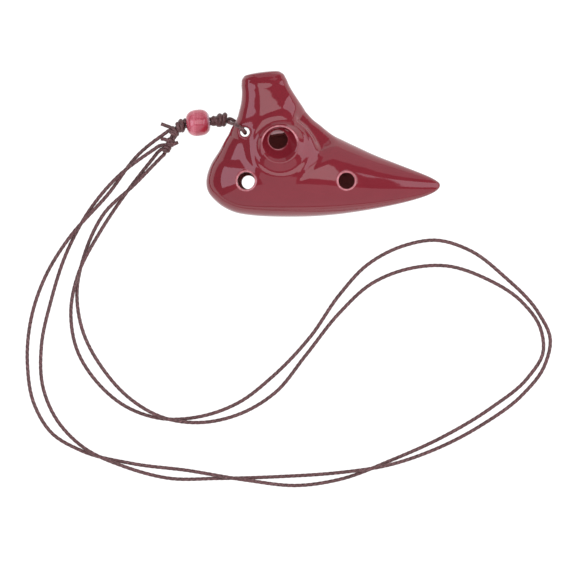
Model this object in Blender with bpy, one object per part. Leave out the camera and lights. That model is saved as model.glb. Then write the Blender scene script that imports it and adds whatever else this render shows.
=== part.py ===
"""A side-blown ceramic ocarina with its neck cord, lying on its finger side.

The vessel is two half shells, a mouthpiece and a voicing collar, luted together before firing.
A cord loop passes through the lanyard hole and carries a barrel knot, a bead, two more knots and a
necklace of two strands.  X runs to the tail, Y to the mouthpiece, Z up through the voicing side.
The origin is under the middle of the ceramic body.  All sizes are in metres.
"""

import math

import bmesh
import bpy
import numpy as np
from mathutils import Vector

# Vessel: sections across X as (x, near edge y, far edge y, middle z), and thickness over width.
BODY_SECTIONS = (
    (-0.0460, -0.0150, -0.0150, 0.0130),
    (-0.0433, -0.0213, -0.0063, 0.0130),
    (-0.0400, -0.0242, -0.0024, 0.0130),
    (-0.0350, -0.0267, 0.0010, 0.0130),
    (-0.0280, -0.0280, 0.0042, 0.0130),
    (-0.0200, -0.0285, 0.0064, 0.0130),
    (-0.0120, -0.0286, 0.0070, 0.0130),
    (-0.0040, -0.0284, 0.0060, 0.0131),
    (0.0040, -0.0278, 0.0033, 0.0133),
    (0.0120, -0.0268, -0.0004, 0.0136),
    (0.0200, -0.0255, -0.0041, 0.0139),
    (0.0280, -0.0239, -0.0073, 0.0142),
    (0.0360, -0.0219, -0.0104, 0.0145),
    (0.0420, -0.0198, -0.0129, 0.0147),
    (0.0445, -0.0184, -0.0143, 0.0148),
    (0.0460, -0.0162, -0.0162, 0.0148),
)
BODY_FLATNESS = ((-0.0460, 0.78), (0.0000, 0.79), (0.0460, 0.90))
WALL = 0.0034
CHAMBER_END_X = 0.0335
SEAM_Z = 0.0130
GAP = 0.0003

# Mouthpiece: sections along its own axis, as (distance v, left u, right u, low z, high z).
MOUTH_ROOT = (-0.0185, 0.0)
MOUTH_LEAN = math.radians(7.5)
MOUTH_SECTIONS = (
    (-0.0040, -0.0172, 0.0172, 0.0060, 0.0232),
    (0.0000, -0.0203, 0.0198, 0.0075, 0.0244),
    (0.0040, -0.0197, 0.0187, 0.0088, 0.0255),
    (0.0080, -0.0169, 0.0158, 0.0098, 0.0261),
    (0.0118, -0.0140, 0.0134, 0.0104, 0.0260),
    (0.0150, -0.0126, 0.0114, 0.0109, 0.0257),
    (0.0180, -0.0115, 0.0099, 0.0113, 0.0253),
    (0.0219, -0.0107, 0.0082, 0.0119, 0.0248),
    (0.0252, -0.0104, 0.0072, 0.0123, 0.0241),
    (0.0274, -0.0095, 0.0059, 0.0129, 0.0231),
    (0.0284, -0.0077, 0.0038, 0.0142, 0.0217),
    (0.0288, -0.0020, -0.0020, 0.0179, 0.0179),
)
MOUTH_POWER = 2.3

# Voicing: a raised collar with a slanted crater that runs down to the window.
WINDOW_AT = (-0.0177, 0.0015)
WINDOW_RADIUS = 0.0037
WINDOW_WELL_Z = 0.0150
LABIUM_Z = 0.0238
CRATER_AT = (-0.01706, -0.0004)
CRATER_RADIUS = 0.00685
RIM_Z = 0.0293
# The collar's outside, from the bottom up, as level circles (x, y, z, radius).
COLLAR_CIRCLES = (
    (-0.0169, -0.0018, 0.0190, 0.0126),
    (-0.0169, -0.0018, 0.0263, 0.0126),
    (-0.0169, -0.0018, 0.0271, 0.0114),
    (-0.0167, -0.00165, 0.0273, 0.0095),
    (-0.01706, -0.0004, 0.0293, 0.0072),
)
WINDWAY_MOUTH = (0.0105, 0.0018)
WINDWAY_EXIT = (0.0050, 0.0012)
WINDWAY_EXIT_Z = 0.0234

# Holes, as (x, y, radius).
THUMB_HOLES = ((-0.0302, -0.0146, 0.00335), (0.0091, -0.0146, 0.0031))
FINGER_HOLES = (
    (-0.0294, -0.0148, 0.0027),
    (-0.0150, -0.0190, 0.0026),
    (0.0022, -0.0190, 0.0024),
    (0.0205, -0.0158, 0.0023),
)
LANYARD_HOLE = (-0.0307, 0.0045, 0.00185)

# Cord side.
CORD = 0.0015
CORD_RADIUS = CORD / 2
BEAD_CENTRE = (-0.0493, 0.0087, 0.0053)
BEAD_LENGTH = 0.0098
BEAD_RADIUS = 0.00525
BEAD_BORE = 0.0021
BEAD_LEAN = math.radians(7.0)
STRAND_SPREAD = 0.0009
BARREL_KNOT_RADIUS = 0.0027
STOP_KNOT = ((-0.0573, 0.0070, 0.0040), (0.0029, 0.0031, 0.0027))
TIE_KNOT = ((-0.0607, -0.0004, 0.0026), (0.0029, 0.0021, 0.0025))

LOOP_ROUTE = (
    (-0.0375, 0.0090, 0.0066),
    (-0.0366, 0.0086, 0.0071),
    (-0.0361, 0.0083, 0.0098),
    (-0.0361, 0.0082, 0.0150),
    (-0.0360, 0.0081, 0.0190),
    (-0.0353, 0.0078, 0.0226),
    (-0.0336, 0.0070, 0.0250),
    (-0.0320, 0.0058, 0.0259),
    (-0.0310, 0.0049, 0.0250),
    (-0.0307, 0.0046, 0.0230),
    (-0.0307, 0.0045, 0.0190),
    (-0.0307, 0.0045, 0.0130),
    (-0.0309, 0.0047, 0.0090),
    (-0.0320, 0.0061, 0.0064),
    (-0.0340, 0.0085, 0.0050),
    (-0.0359, 0.0100, 0.0044),
    (-0.0375, 0.0104, 0.0043),
)
STOP_KNOT_TAIL = ((-0.0606, 0.0075, 0.0040), (-0.0622, 0.0078, 0.0040), (-0.0640, 0.0080, 0.0042))
TIE_KNOT_TAIL_A = ((-0.0635, 0.0012, 0.0043), (-0.0641, 0.0014, 0.0045), (-0.0649, 0.0016, 0.0046))
TIE_KNOT_TAIL_B = ((-0.0578, 0.0004, 0.0032), (-0.0570, 0.0007, 0.0034), (-0.0562, 0.0007, 0.0034))

NECKLACE_A_ROUTE = (
    (-0.0611, 0.0056), (-0.0722, -0.0029), (-0.0855, -0.0200), (-0.1005, -0.0369),
    (-0.1095, -0.0512), (-0.1156, -0.0690), (-0.1170, -0.0870), (-0.1143, -0.1027),
    (-0.1072, -0.1142), (-0.0959, -0.1209), (-0.0755, -0.1261), (-0.0531, -0.1289),
    (-0.0298, -0.1327), (-0.0103, -0.1348), (0.0066, -0.1324), (0.0273, -0.1247),
    (0.0476, -0.1155), (0.0667, -0.1040), (0.0811, -0.0922), (0.0872, -0.0820),
    (0.0861, -0.0724), (0.0788, -0.0621), (0.0642, -0.0527), (0.0494, -0.0479),
    (0.0343, -0.0489), (0.0194, -0.0548), (0.0067, -0.0663), (-0.0069, -0.0834),
    (-0.0190, -0.0981), (-0.0325, -0.1063), (-0.0479, -0.1098), (-0.0624, -0.1081),
    (-0.0761, -0.1006), (-0.0870, -0.0888), (-0.0952, -0.0733), (-0.0974, -0.0590),
    (-0.0941, -0.0424), (-0.0866, -0.0271), (-0.0745, -0.0156), (-0.0628, -0.0036),
)
NECKLACE_B_ROUTE = (
    (-0.0646, -0.0002), (-0.0806, -0.0120), (-0.0918, -0.0249), (-0.1008, -0.0410),
    (-0.1078, -0.0621), (-0.1115, -0.0799), (-0.1108, -0.0961), (-0.1051, -0.1092),
    (-0.0944, -0.1199), (-0.0787, -0.1272), (-0.0612, -0.1319), (-0.0415, -0.1320),
    (-0.0178, -0.1313), (0.0060, -0.1297), (0.0266, -0.1265), (0.0460, -0.1198),
    (0.0633, -0.1106), (0.0788, -0.0991), (0.0877, -0.0875), (0.0900, -0.0765),
    (0.0854, -0.0665), (0.0718, -0.0520), (0.0580, -0.0416), (0.0451, -0.0377),
    (0.0319, -0.0399), (0.0175, -0.0475), (0.0067, -0.0591), (-0.0049, -0.0758),
    (-0.0202, -0.0919), (-0.0336, -0.1021), (-0.0487, -0.1075), (-0.0645, -0.1082),
    (-0.0777, -0.1037), (-0.0896, -0.0937), (-0.0974, -0.0810), (-0.0998, -0.0670),
    (-0.0970, -0.0516), (-0.0886, -0.0350), (-0.0774, -0.0182), (-0.0655, -0.0030),
)
# Where each strand lies over another, as distances along it, and how it leaves its knots.
A_OVER_AT = (0.0510, 0.2169, 0.5462, 0.6586)
B_OVER_AT = (0.0165, 0.1496, 0.2585, 0.6278)
HUMP_REACH = 0.022
A_END_RISE = (0.0028, 0.0012)
B_END_RISE = (0.0022, 0.0006)
END_REACH = 0.014
NECKLACE_POINTS = 80
SHORT_CORD_POINTS = 40

# Mesh fineness.
BODY_RINGS = 26
MOUTH_RINGS = 16
AROUND = 40
HOLE_SIDES = 28

# Colours: linear red, green, blue.
GLAZE_RED = (0.30, 0.030, 0.045)
CORD_BROWN = (0.11, 0.055, 0.055)
BEAD_PINK = (0.66, 0.12, 0.18)


def clear_scene():
    for obj in list(bpy.data.objects):
        bpy.data.objects.remove(obj, do_unlink=True)


def make_material(name, colour, roughness):
    material = bpy.data.materials.new(name)
    material.use_nodes = True
    shader = material.node_tree.nodes["Principled BSDF"]
    shader.inputs["Base Color"].default_value = (*colour, 1.0)
    shader.inputs["Roughness"].default_value = roughness
    material.diffuse_color = (*colour, 1.0)
    return material


def add_object(name, mesh, material=None):
    obj = bpy.data.objects.new(name, mesh)
    bpy.context.scene.collection.objects.link(obj)
    if material:
        mesh.materials.append(material)
    return obj


def make_cutter(obj):
    obj.hide_render = True
    obj.display_type = "WIRE"
    return obj


def boolean(obj, cutter, operation="DIFFERENCE"):
    modifier = obj.modifiers.new(f"{operation.title()} {cutter.name}", "BOOLEAN")
    modifier.operation = operation
    modifier.object = cutter


def along_curve(stations, at):
    """The stations' other columns at these places, on a smooth curve through the stations."""
    table = np.array(stations)
    places, values = table[:, 0], table[:, 1:]
    slopes = np.gradient(values, places, axis=0)
    i = np.clip(np.searchsorted(places, at) - 1, 0, len(places) - 2)
    step = (places[i + 1] - places[i])[:, None]
    t = ((at - places[i]) / step[:, 0])[:, None]
    return (
        values[i] * (1 + 2 * t) * (1 - t) ** 2
        + values[i + 1] * t**2 * (3 - 2 * t)
        + step * (slopes[i] * t * (1 - t) ** 2 - slopes[i + 1] * t**2 * (1 - t))
    )


def through_points(points, count):
    """This many points, evenly spaced, on a smooth curve through the given ones."""
    table = np.array(points)
    steps = np.linalg.norm(np.diff(table, axis=0), axis=1)
    places = np.concatenate([[0], np.cumsum(steps)])
    stations = np.column_stack([places, table])
    fine = along_curve(stations, np.linspace(0, places[-1], 40 * len(table)))
    walked = np.concatenate([[0], np.cumsum(np.linalg.norm(np.diff(fine, axis=0), axis=1))])
    wanted = np.linspace(0, walked[-1], count)
    return np.column_stack([np.interp(wanted, walked, column) for column in fine.T]), wanted


def loft(name, rings, material=None):
    """A closed skin over rings of points, with one face across each end."""
    count, around = rings.shape[:2]
    shape = bmesh.new()
    points = [[shape.verts.new(point) for point in ring] for ring in rings]
    for first, second in zip(points, points[1:]):
        for j in range(around):
            k = (j + 1) % around
            shape.faces.new((first[j], first[k], second[k], second[j]))
    shape.faces.new(points[0])
    shape.faces.new(points[count - 1])
    bmesh.ops.recalc_face_normals(shape, faces=shape.faces)
    mesh = bpy.data.meshes.new(name)
    shape.to_mesh(mesh)
    shape.free()
    mesh.shade_smooth()
    mesh.set_sharp_from_angle(angle=math.radians(40))
    return add_object(name, mesh, material)


def offset_rings(rings, distance):
    """The rings moved outwards, square to the skin through them."""
    around = np.roll(rings, -1, axis=1) - np.roll(rings, 1, axis=1)
    normals = np.cross(around, np.gradient(rings, axis=0))
    normals /= np.linalg.norm(normals, axis=2, keepdims=True)
    outwards = np.sum(normals * (rings - rings.mean(axis=1, keepdims=True)), axis=(1, 2))
    normals *= np.sign(outwards)[:, None, None]
    return rings + distance * normals


def body_rings():
    """Elliptical sections of the vessel; squared widths are blended, so that its ends are round."""
    table = np.array(BODY_SECTIONS)
    x, near, far, middle = table.T
    stations = np.column_stack([x, (near + far) / 2, ((far - near) / 2) ** 2, middle])
    turn = np.linspace(0.10, math.pi - 0.07, BODY_RINGS)
    at = (x[0] + x[-1]) / 2 - (x[-1] - x[0]) / 2 * np.cos(turn)
    centre_y, width_squared, centre_z = along_curve(stations, at).T
    half_width = np.sqrt(width_squared)
    flatness = along_curve(BODY_FLATNESS, at)[:, 0]
    angle = np.linspace(0, math.tau, AROUND, endpoint=False)
    rings = np.empty((BODY_RINGS, AROUND, 3))
    rings[:, :, 0] = at[:, None]
    rings[:, :, 1] = centre_y[:, None] + half_width[:, None] * np.cos(angle)
    rings[:, :, 2] = centre_z[:, None] + (half_width * flatness)[:, None] * np.sin(angle)
    return rings


def mouth_point(u, v):
    """The place in X and Y of a point u across and v along the mouthpiece."""
    x = MOUTH_ROOT[0] + u * math.cos(MOUTH_LEAN) - v * math.sin(MOUTH_LEAN)
    y = MOUTH_ROOT[1] + u * math.sin(MOUTH_LEAN) + v * math.cos(MOUTH_LEAN)
    return x, y


def mouth_rings():
    """Rounded flat sections of the mouthpiece, closing to a blunt round end."""
    v, left, right, low, high = np.array(MOUTH_SECTIONS).T
    stations = np.column_stack(
        [v, (left + right) / 2, ((right - left) / 2) ** 2, (low + high) / 2, ((high - low) / 2) ** 2]
    )
    turn = np.linspace(0, math.pi / 2 - 0.05, MOUTH_RINGS)
    at = v[0] + (v[-1] - v[0]) * np.sin(turn)
    centre_u, width_squared, centre_z, height_squared = along_curve(stations, at).T
    angle = np.linspace(0, math.tau, AROUND, endpoint=False)
    across = np.sign(np.cos(angle)) * np.abs(np.cos(angle)) ** (2 / MOUTH_POWER)
    upwards = np.sign(np.sin(angle)) * np.abs(np.sin(angle)) ** (2 / MOUTH_POWER)
    u = centre_u[:, None] + np.sqrt(width_squared)[:, None] * across
    x, y = mouth_point(u, at[:, None])
    z = centre_z[:, None] + np.sqrt(height_squared)[:, None] * upwards
    return np.stack([x, y, z], axis=2)


def round_rings(stages, sides=HOLE_SIDES):
    """Level circles, one for each (x, y, z, radius)."""
    angle = np.linspace(0, math.tau, sides, endpoint=False)
    rings = []
    for x, y, z, radius in stages:
        circle = (x + radius * np.cos(angle), y + radius * np.sin(angle), np.full(sides, z))
        rings.append(np.stack(circle, axis=1))
    return np.array(rings)


def hole_cutter(name, x, y, radius, low, high):
    return make_cutter(loft(name, round_rings(((x, y, low, radius), (x, y, high, radius)))))


def slab_cutter(name, low, high):
    """A block from one height to another that covers the whole object."""
    side = 0.3
    shape = bmesh.new()
    bmesh.ops.create_cube(shape, size=1.0)
    bmesh.ops.scale(shape, vec=(side, side, high - low), verts=shape.verts)
    bmesh.ops.translate(shape, vec=(0, 0, (low + high) / 2), verts=shape.verts)
    mesh = bpy.data.meshes.new(name)
    shape.to_mesh(mesh)
    shape.free()
    return make_cutter(add_object(name, mesh))


def crater_cutter():
    """The window's well, and the slanted crater that opens from its upper end to the rim."""
    lean = np.array(CRATER_AT) - np.array(WINDOW_AT)
    above = 1.5
    top = np.array(WINDOW_AT) + lean * above
    stages = (
        (*WINDOW_AT, WINDOW_WELL_Z, WINDOW_RADIUS),
        (*WINDOW_AT, LABIUM_Z, WINDOW_RADIUS),
        (
            *top,
            LABIUM_Z + (RIM_Z - LABIUM_Z) * above,
            WINDOW_RADIUS + (CRATER_RADIUS - WINDOW_RADIUS) * above,
        ),
    )
    return make_cutter(loft("crater_cutter", round_rings(stages)))


def windway_cutter():
    """The flat air channel from the mouthpiece's end to the window's upper wall."""
    blow_v = MOUTH_SECTIONS[-1][0] + 0.002
    blow = (*mouth_point(MOUTH_SECTIONS[-1][1], blow_v), MOUTH_SECTIONS[-1][3])
    exit_point = (WINDOW_AT[0], WINDOW_AT[1] + WINDOW_RADIUS - 0.0012, WINDWAY_EXIT_Z)
    across = Vector((math.cos(MOUTH_LEAN), math.sin(MOUTH_LEAN), 0))
    corners = ((-0.5, -0.5), (0.5, -0.5), (0.5, 0.5), (-0.5, 0.5))
    rings = []
    for centre, (width, height) in ((exit_point, WINDWAY_EXIT), (blow, WINDWAY_MOUTH)):
        ring = [Vector(centre) + across * a * width + Vector((0, 0, b * height)) for a, b in corners]
        rings.append([tuple(point) for point in ring])
    return make_cutter(loft("windway_cutter", np.array(rings)))


def turned(name, profile, material, sides):
    """A closed solid turned about X from a profile of (x, radius) that starts and ends on its bore."""
    shape = bmesh.new()
    points = [shape.verts.new((x, 0, radius)) for x, radius in profile]
    edges = [shape.edges.new(pair) for pair in zip(points, points[1:] + points[:1])]
    bmesh.ops.spin(
        shape, geom=points + edges, axis=(1, 0, 0), cent=(0, 0, 0), angle=math.tau, steps=sides,
        use_merge=True,
    )
    bmesh.ops.remove_doubles(shape, verts=shape.verts, dist=1e-6)
    bmesh.ops.recalc_face_normals(shape, faces=shape.faces)
    mesh = bpy.data.meshes.new(name)
    shape.to_mesh(mesh)
    shape.free()
    mesh.shade_smooth()
    mesh.set_sharp_from_angle(angle=math.radians(50))
    return add_object(name, mesh, material)


def cord_tube(name, points, material, radius=CORD_RADIUS):
    curve = bpy.data.curves.new(name, "CURVE")
    curve.dimensions = "3D"
    spline = curve.splines.new("POLY")
    spline.points.add(len(points) - 1)
    for place, point in zip(spline.points, points):
        place.co = (*point, 1.0)
    curve.bevel_depth = radius
    curve.bevel_resolution = 2
    curve.use_fill_caps = True
    return add_object(name, curve, material)


def hump(distance, reach):
    """1 near the middle of a hump, easing to 0 at its reach."""
    t = np.clip((reach - np.abs(distance)) / (0.6 * reach), 0, 1)
    return t * t * (3 - 2 * t)


def necklace_strand(name, route, over_at, end_rise, material):
    """A strand that lies flat, rises at its knots, and humps where it crosses over the other."""
    level, walked = through_points(route, NECKLACE_POINTS)
    height = np.full(NECKLACE_POINTS, CORD_RADIUS)
    for at in over_at:
        height = np.maximum(height, CORD_RADIUS + (CORD + GAP) * hump(walked - at, HUMP_REACH))
    height += end_rise[0] * hump(walked, END_REACH)
    height += end_rise[1] * hump(walked - walked[-1], END_REACH)
    return cord_tube(name, np.column_stack([level, height]), material)


def knot_ball(name, centre, half_sizes, material):
    shape = bmesh.new()
    bmesh.ops.create_uvsphere(shape, u_segments=20, v_segments=12, radius=1.0)
    bmesh.ops.scale(shape, vec=half_sizes, verts=shape.verts)
    mesh = bpy.data.meshes.new(name)
    shape.to_mesh(mesh)
    shape.free()
    mesh.shade_smooth()
    obj = add_object(name, mesh, material)
    obj.location = centre
    return obj


def build_vessel(glaze):
    outer = body_rings()
    mouth = mouth_rings()
    chamber = offset_rings(outer, -WALL)
    chamber = chamber[chamber[:, :, 0].mean(axis=1) < CHAMBER_END_X]
    cut_chamber = make_cutter(loft("chamber_cutter", chamber))
    cut_body = make_cutter(loft("body_clearance", offset_rings(outer, GAP)))
    cut_mouth = make_cutter(loft("mouthpiece_clearance", offset_rings(mouth, GAP)))
    cut_crater = crater_cutter()
    above_seam = slab_cutter("above_seam", SEAM_Z + GAP / 2, 0.1)
    below_seam = slab_cutter("below_seam", 0.0, SEAM_Z - GAP / 2)

    voicing_half = loft("voicing_half", outer, glaze)
    boolean(voicing_half, above_seam, "INTERSECT")
    boolean(voicing_half, cut_chamber)
    boolean(voicing_half, cut_crater)
    for i, (x, y, radius) in enumerate(THUMB_HOLES):
        cutter = hole_cutter(f"thumb_hole_{i + 1}", x, y, radius, SEAM_Z + 0.002, 0.04)
        boolean(voicing_half, cutter)

    finger_half = loft("finger_half", outer, glaze)
    boolean(finger_half, below_seam, "INTERSECT")
    boolean(finger_half, cut_chamber)
    for i, (x, y, radius) in enumerate(FINGER_HOLES):
        boolean(finger_half, hole_cutter(f"finger_hole_{i + 1}", x, y, radius, -0.01, SEAM_Z - 0.002))

    mouthpiece = loft("mouthpiece", mouth, glaze)
    boolean(mouthpiece, hole_cutter("lanyard_hole", *LANYARD_HOLE, 0.0, 0.04))
    boolean(mouthpiece, cut_body)
    boolean(mouthpiece, cut_crater)
    boolean(mouthpiece, windway_cutter())

    collar = loft("voicing_collar", round_rings(COLLAR_CIRCLES, AROUND), glaze)
    boolean(collar, cut_body)
    boolean(collar, cut_mouth)
    boolean(collar, cut_crater)


def bead_profile():
    """Half of a rounded barrel from bore edge to bore edge, with the bore's own line closing it."""
    half = BEAD_LENGTH / 2
    steps = 14
    profile = []
    for i in range(steps + 1):
        angle = math.pi * i / steps
        x = -half * math.copysign(abs(math.cos(angle)) ** (2 / 2.6), math.cos(angle))
        radius = BEAD_RADIUS * math.sin(angle) ** (2 / 2.6)
        if radius > BEAD_BORE + 0.0004:
            profile.append((x, radius))
    end = profile[0][0]
    return [(end, BEAD_BORE), *profile, (-end, BEAD_BORE)]


def build_bead(pink):
    bead = turned("bead", bead_profile(), pink, 36)
    bead.location = BEAD_CENTRE
    bead.rotation_euler.z = BEAD_LEAN
    return bead


def on_cord_axis(distance, sideways=0.0):
    """A point this far from the bead's middle along the cord, towards the ocarina if positive."""
    along = Vector((math.cos(BEAD_LEAN), math.sin(BEAD_LEAN), 0))
    across = Vector((-math.sin(BEAD_LEAN), math.cos(BEAD_LEAN), 0))
    return Vector(BEAD_CENTRE) + along * distance + across * sideways


def build_cords(brown):
    loop_points, _ = through_points(LOOP_ROUTE, SHORT_CORD_POINTS)
    cord_tube("lanyard_loop", loop_points, brown)

    collar_end = BEAD_LENGTH / 2 + GAP
    knot_start = collar_end + 0.0005
    knot_end = knot_start + 0.0056
    radius = BARREL_KNOT_RADIUS
    profile = [
        (collar_end, 0.0004), (collar_end, 0.0019), (knot_start, 0.0021),
        (knot_start + 0.0004, radius - 0.0003), (knot_start + 0.0010, radius),
        (knot_end - 0.0010, radius), (knot_end - 0.0003, radius - 0.0004), (knot_end, 0.0018),
        (knot_end, 0.0004),
    ]
    knot = turned("barrel_knot", profile, brown, 24)
    knot.location = BEAD_CENTRE
    knot.rotation_euler.z = BEAD_LEAN

    for name, side in (("bead_strand_a", 1), ("bead_strand_b", -1)):
        ends = [on_cord_axis(d, side * STRAND_SPREAD) for d in (-0.0054, -0.002, 0.002, 0.0049)]
        cord_tube(name, ends, brown)

    knot_ball("stop_knot", *STOP_KNOT, brown)
    knot_ball("tie_knot", *TIE_KNOT, brown)
    cord_tube("stop_knot_tail", STOP_KNOT_TAIL, brown)
    cord_tube("tie_knot_tail_a", TIE_KNOT_TAIL_A, brown)
    cord_tube("tie_knot_tail_b", TIE_KNOT_TAIL_B, brown)
    necklace_strand("necklace_strand_a", NECKLACE_A_ROUTE, A_OVER_AT, A_END_RISE, brown)
    necklace_strand("necklace_strand_b", NECKLACE_B_ROUTE, B_OVER_AT, B_END_RISE, brown)


clear_scene()
build_vessel(make_material("red_glaze", GLAZE_RED, 0.12))
build_bead(make_material("pink_glass", BEAD_PINK, 0.2))
build_cords(make_material("brown_waxed_cord", CORD_BROWN, 0.6))
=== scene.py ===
"""Looks for the ceramic ocarina and its neck cord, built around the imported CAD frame.

The glazed body is one skin, computed from the vessel's sections as a smooth signed field and meshed
with surface nets.  The cords are twisted three-ply tubes, and each knot is a few wraps of cord
round a filling.  Everything is in metres, in the frame of the CAD model: X to the tail, Y to the
mouthpiece, Z up.
"""

import math

import bpy
import numpy as np
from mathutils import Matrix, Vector


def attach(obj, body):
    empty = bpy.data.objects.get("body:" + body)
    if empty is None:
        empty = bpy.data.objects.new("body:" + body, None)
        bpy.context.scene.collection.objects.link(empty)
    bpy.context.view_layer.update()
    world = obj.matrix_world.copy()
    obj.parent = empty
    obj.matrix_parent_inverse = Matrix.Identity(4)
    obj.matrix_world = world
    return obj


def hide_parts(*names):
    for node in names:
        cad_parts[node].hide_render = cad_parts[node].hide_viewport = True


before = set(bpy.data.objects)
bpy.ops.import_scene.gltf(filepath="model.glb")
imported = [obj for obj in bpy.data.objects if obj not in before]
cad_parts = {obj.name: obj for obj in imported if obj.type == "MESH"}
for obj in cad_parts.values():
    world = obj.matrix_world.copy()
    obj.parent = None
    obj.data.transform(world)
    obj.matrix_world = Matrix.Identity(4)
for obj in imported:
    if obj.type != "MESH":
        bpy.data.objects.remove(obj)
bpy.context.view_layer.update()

# Camera and light ---------------------------------------------------------------------------
VIEW_CENTRE = (-0.0150, -0.0554, 0.0060)
VIEW_WIDTH = 0.22515
CAMERA_HEIGHT = 2.0
SENSOR = 36.0

# Vessel: the CAD model's sections, as (x, near edge y, far edge y, middle z).
BODY_SECTIONS = (
    (-0.0460, -0.0150, -0.0150, 0.0130),
    (-0.0433, -0.0213, -0.0063, 0.0130),
    (-0.0400, -0.0242, -0.0024, 0.0130),
    (-0.0350, -0.0267, 0.0010, 0.0130),
    (-0.0280, -0.0280, 0.0042, 0.0130),
    (-0.0200, -0.0285, 0.0064, 0.0130),
    (-0.0120, -0.0286, 0.0070, 0.0130),
    (-0.0040, -0.0284, 0.0060, 0.0131),
    (0.0040, -0.0278, 0.0033, 0.0133),
    (0.0120, -0.0268, -0.0004, 0.0136),
    (0.0200, -0.0255, -0.0041, 0.0139),
    (0.0280, -0.0239, -0.0073, 0.0142),
    (0.0360, -0.0219, -0.0104, 0.0145),
    (0.0420, -0.0198, -0.0129, 0.0147),
    (0.0445, -0.0184, -0.0143, 0.0148),
    (0.0460, -0.0162, -0.0162, 0.0148),
)
BODY_FLATNESS = ((-0.0460, 0.78), (0.0000, 0.79), (0.0460, 0.90))
WALL = 0.0034
CHAMBER_END_X = 0.0335

# Mouthpiece: sections along its own axis, as (distance v, left u, right u, low z, high z).
MOUTH_ROOT = (-0.0185, 0.0)
MOUTH_LEAN = math.radians(7.5)
MOUTH_SECTIONS = (
    (-0.0040, -0.0172, 0.0172, 0.0060, 0.0232),
    (0.0000, -0.0203, 0.0198, 0.0075, 0.0250),
    (0.0040, -0.0197, 0.0187, 0.0088, 0.0262),
    (0.0080, -0.0169, 0.0158, 0.0098, 0.0266),
    (0.0118, -0.0140, 0.0134, 0.0104, 0.0264),
    (0.0150, -0.0126, 0.0114, 0.0109, 0.0260),
    (0.0180, -0.0115, 0.0099, 0.0113, 0.02555),
    (0.0219, -0.0107, 0.0082, 0.0119, 0.0249),
    (0.0252, -0.0104, 0.0072, 0.0123, 0.0243),
    (0.0274, -0.0095, 0.0059, 0.0129, 0.0233),
    (0.0284, -0.0077, 0.0038, 0.0142, 0.0218),
    (0.0288, -0.0020, -0.0020, 0.0179, 0.0179),
)
MOUTH_POWER = 2.3
# Where the skin falls away beside the mouthpiece's root: a point on the outline, the heading of
# the fall, its height there, its slope, the middle and half of its span, and its rounding.
FALLS = (
    ((-0.0387, 0.0009), (-0.876, 0.483), 0.0186, 1.05, -0.0015, 0.0045, 0.0028),
    ((-0.0025, 0.0088), (0.585, 0.811), 0.0202, 0.48, 0.0010, 0.0070, 0.0055),
)
FALL_FADE = 1.1

# Voicing: circles as (x, y, z, radius) up the collar's flank, and down the crater to the window.
MOUND = ((-0.0169, -0.0018, 0.0272, 0.0117), (-0.0154, -0.0022, 0.0246, 0.0146))
MOUND_SLOPE = 0.036
MOUND_LEVEL_Y = -0.0130
# The mound stays this far inside the skin at its foot, and rises this far over it higher up,
# between these heights; the rise fades out between these distances from its middle.
MOUND_SINK = 0.0020
MOUND_RISE = 0.0026
MOUND_HEIGHTS = (0.0190, 0.0245)
MOUND_FADE = (0.0168, 0.0108)
MOUND_FADE_AT = (-0.0160, -0.0030)
FLANK = ((-0.01706, -0.0004, 0.0293, 0.0072), (-0.0167, -0.00165, 0.0271, 0.0095))
FLANK_DEPTH = 0.0060
CRATER_RIM = (-0.01706, -0.0004, 0.0293, 0.00685)
CRATER_POWER = 0.7
WINDOW = (-0.0177, 0.0015, 0.0248, 0.0037)
WINDWAY_MOUTH = (0.0105, 0.0018)
WINDWAY_EXIT = (0.0050, 0.0012)
WINDWAY_EXIT_Z = 0.0240
WINDWAY_OVERLAP = 0.0012
WINDWAY_SILL = (0.0023, 0.0234)

# Holes, as (x, y, radius).
THUMB_HOLES = ((-0.0302, -0.0146, 0.00335), (0.0091, -0.0146, 0.0031))
FINGER_HOLES = (
    (-0.0294, -0.0148, 0.0027),
    (-0.0150, -0.0190, 0.0026),
    (0.0022, -0.0190, 0.0024),
    (0.0205, -0.0158, 0.0023),
)
LANYARD_HOLE = (-0.0307, 0.0045, 0.00185)
MIDDLE_Z = 0.0140

GRID_STEP = 0.00045
MOUTH_BLEND = 0.0050
MOUND_BLEND = 0.0018
FLANK_BLEND = 0.0012
MOUND_ROUNDING = 0.0012
BELLY_ROUNDING = 0.0006
CHAMBER_ROUNDING = 0.0040
HOLE_ROUNDING = 0.0011
SHARP_ROUNDING = 0.0005
WINDWAY_ROUNDING = 0.0004
SILL_ROUNDING = 0.0003
CRATER_ROUNDING = (0.0004, 0.0016)
CRATER_ROUNDING_Y = (0.0020, -0.0040)

# Where the glaze runs thin, as distances from the edge at which it starts and is full.
RIM_RUN = (0.0010, 0.0003)
LANYARD_RUN = (0.0007, 0.0002)
CRATER_RUN = (0.0006, 0.0002)
WINDOW_RUN = (0.0006, 0.0002)

# Cord side ----------------------------------------------------------------------------------
CORD = 0.0015
CORD_RADIUS = CORD / 2
GAP = 0.0003
BEAD_CENTRE = np.array((-0.0493, 0.0087, 0.0053))
BEAD_LENGTH = 0.0098
BEAD_RADIUS = 0.00525
BEAD_BORE = 0.0021
BEAD_LEAN = math.radians(7.0)
STRAND_SPREAD = 0.0009

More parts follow.
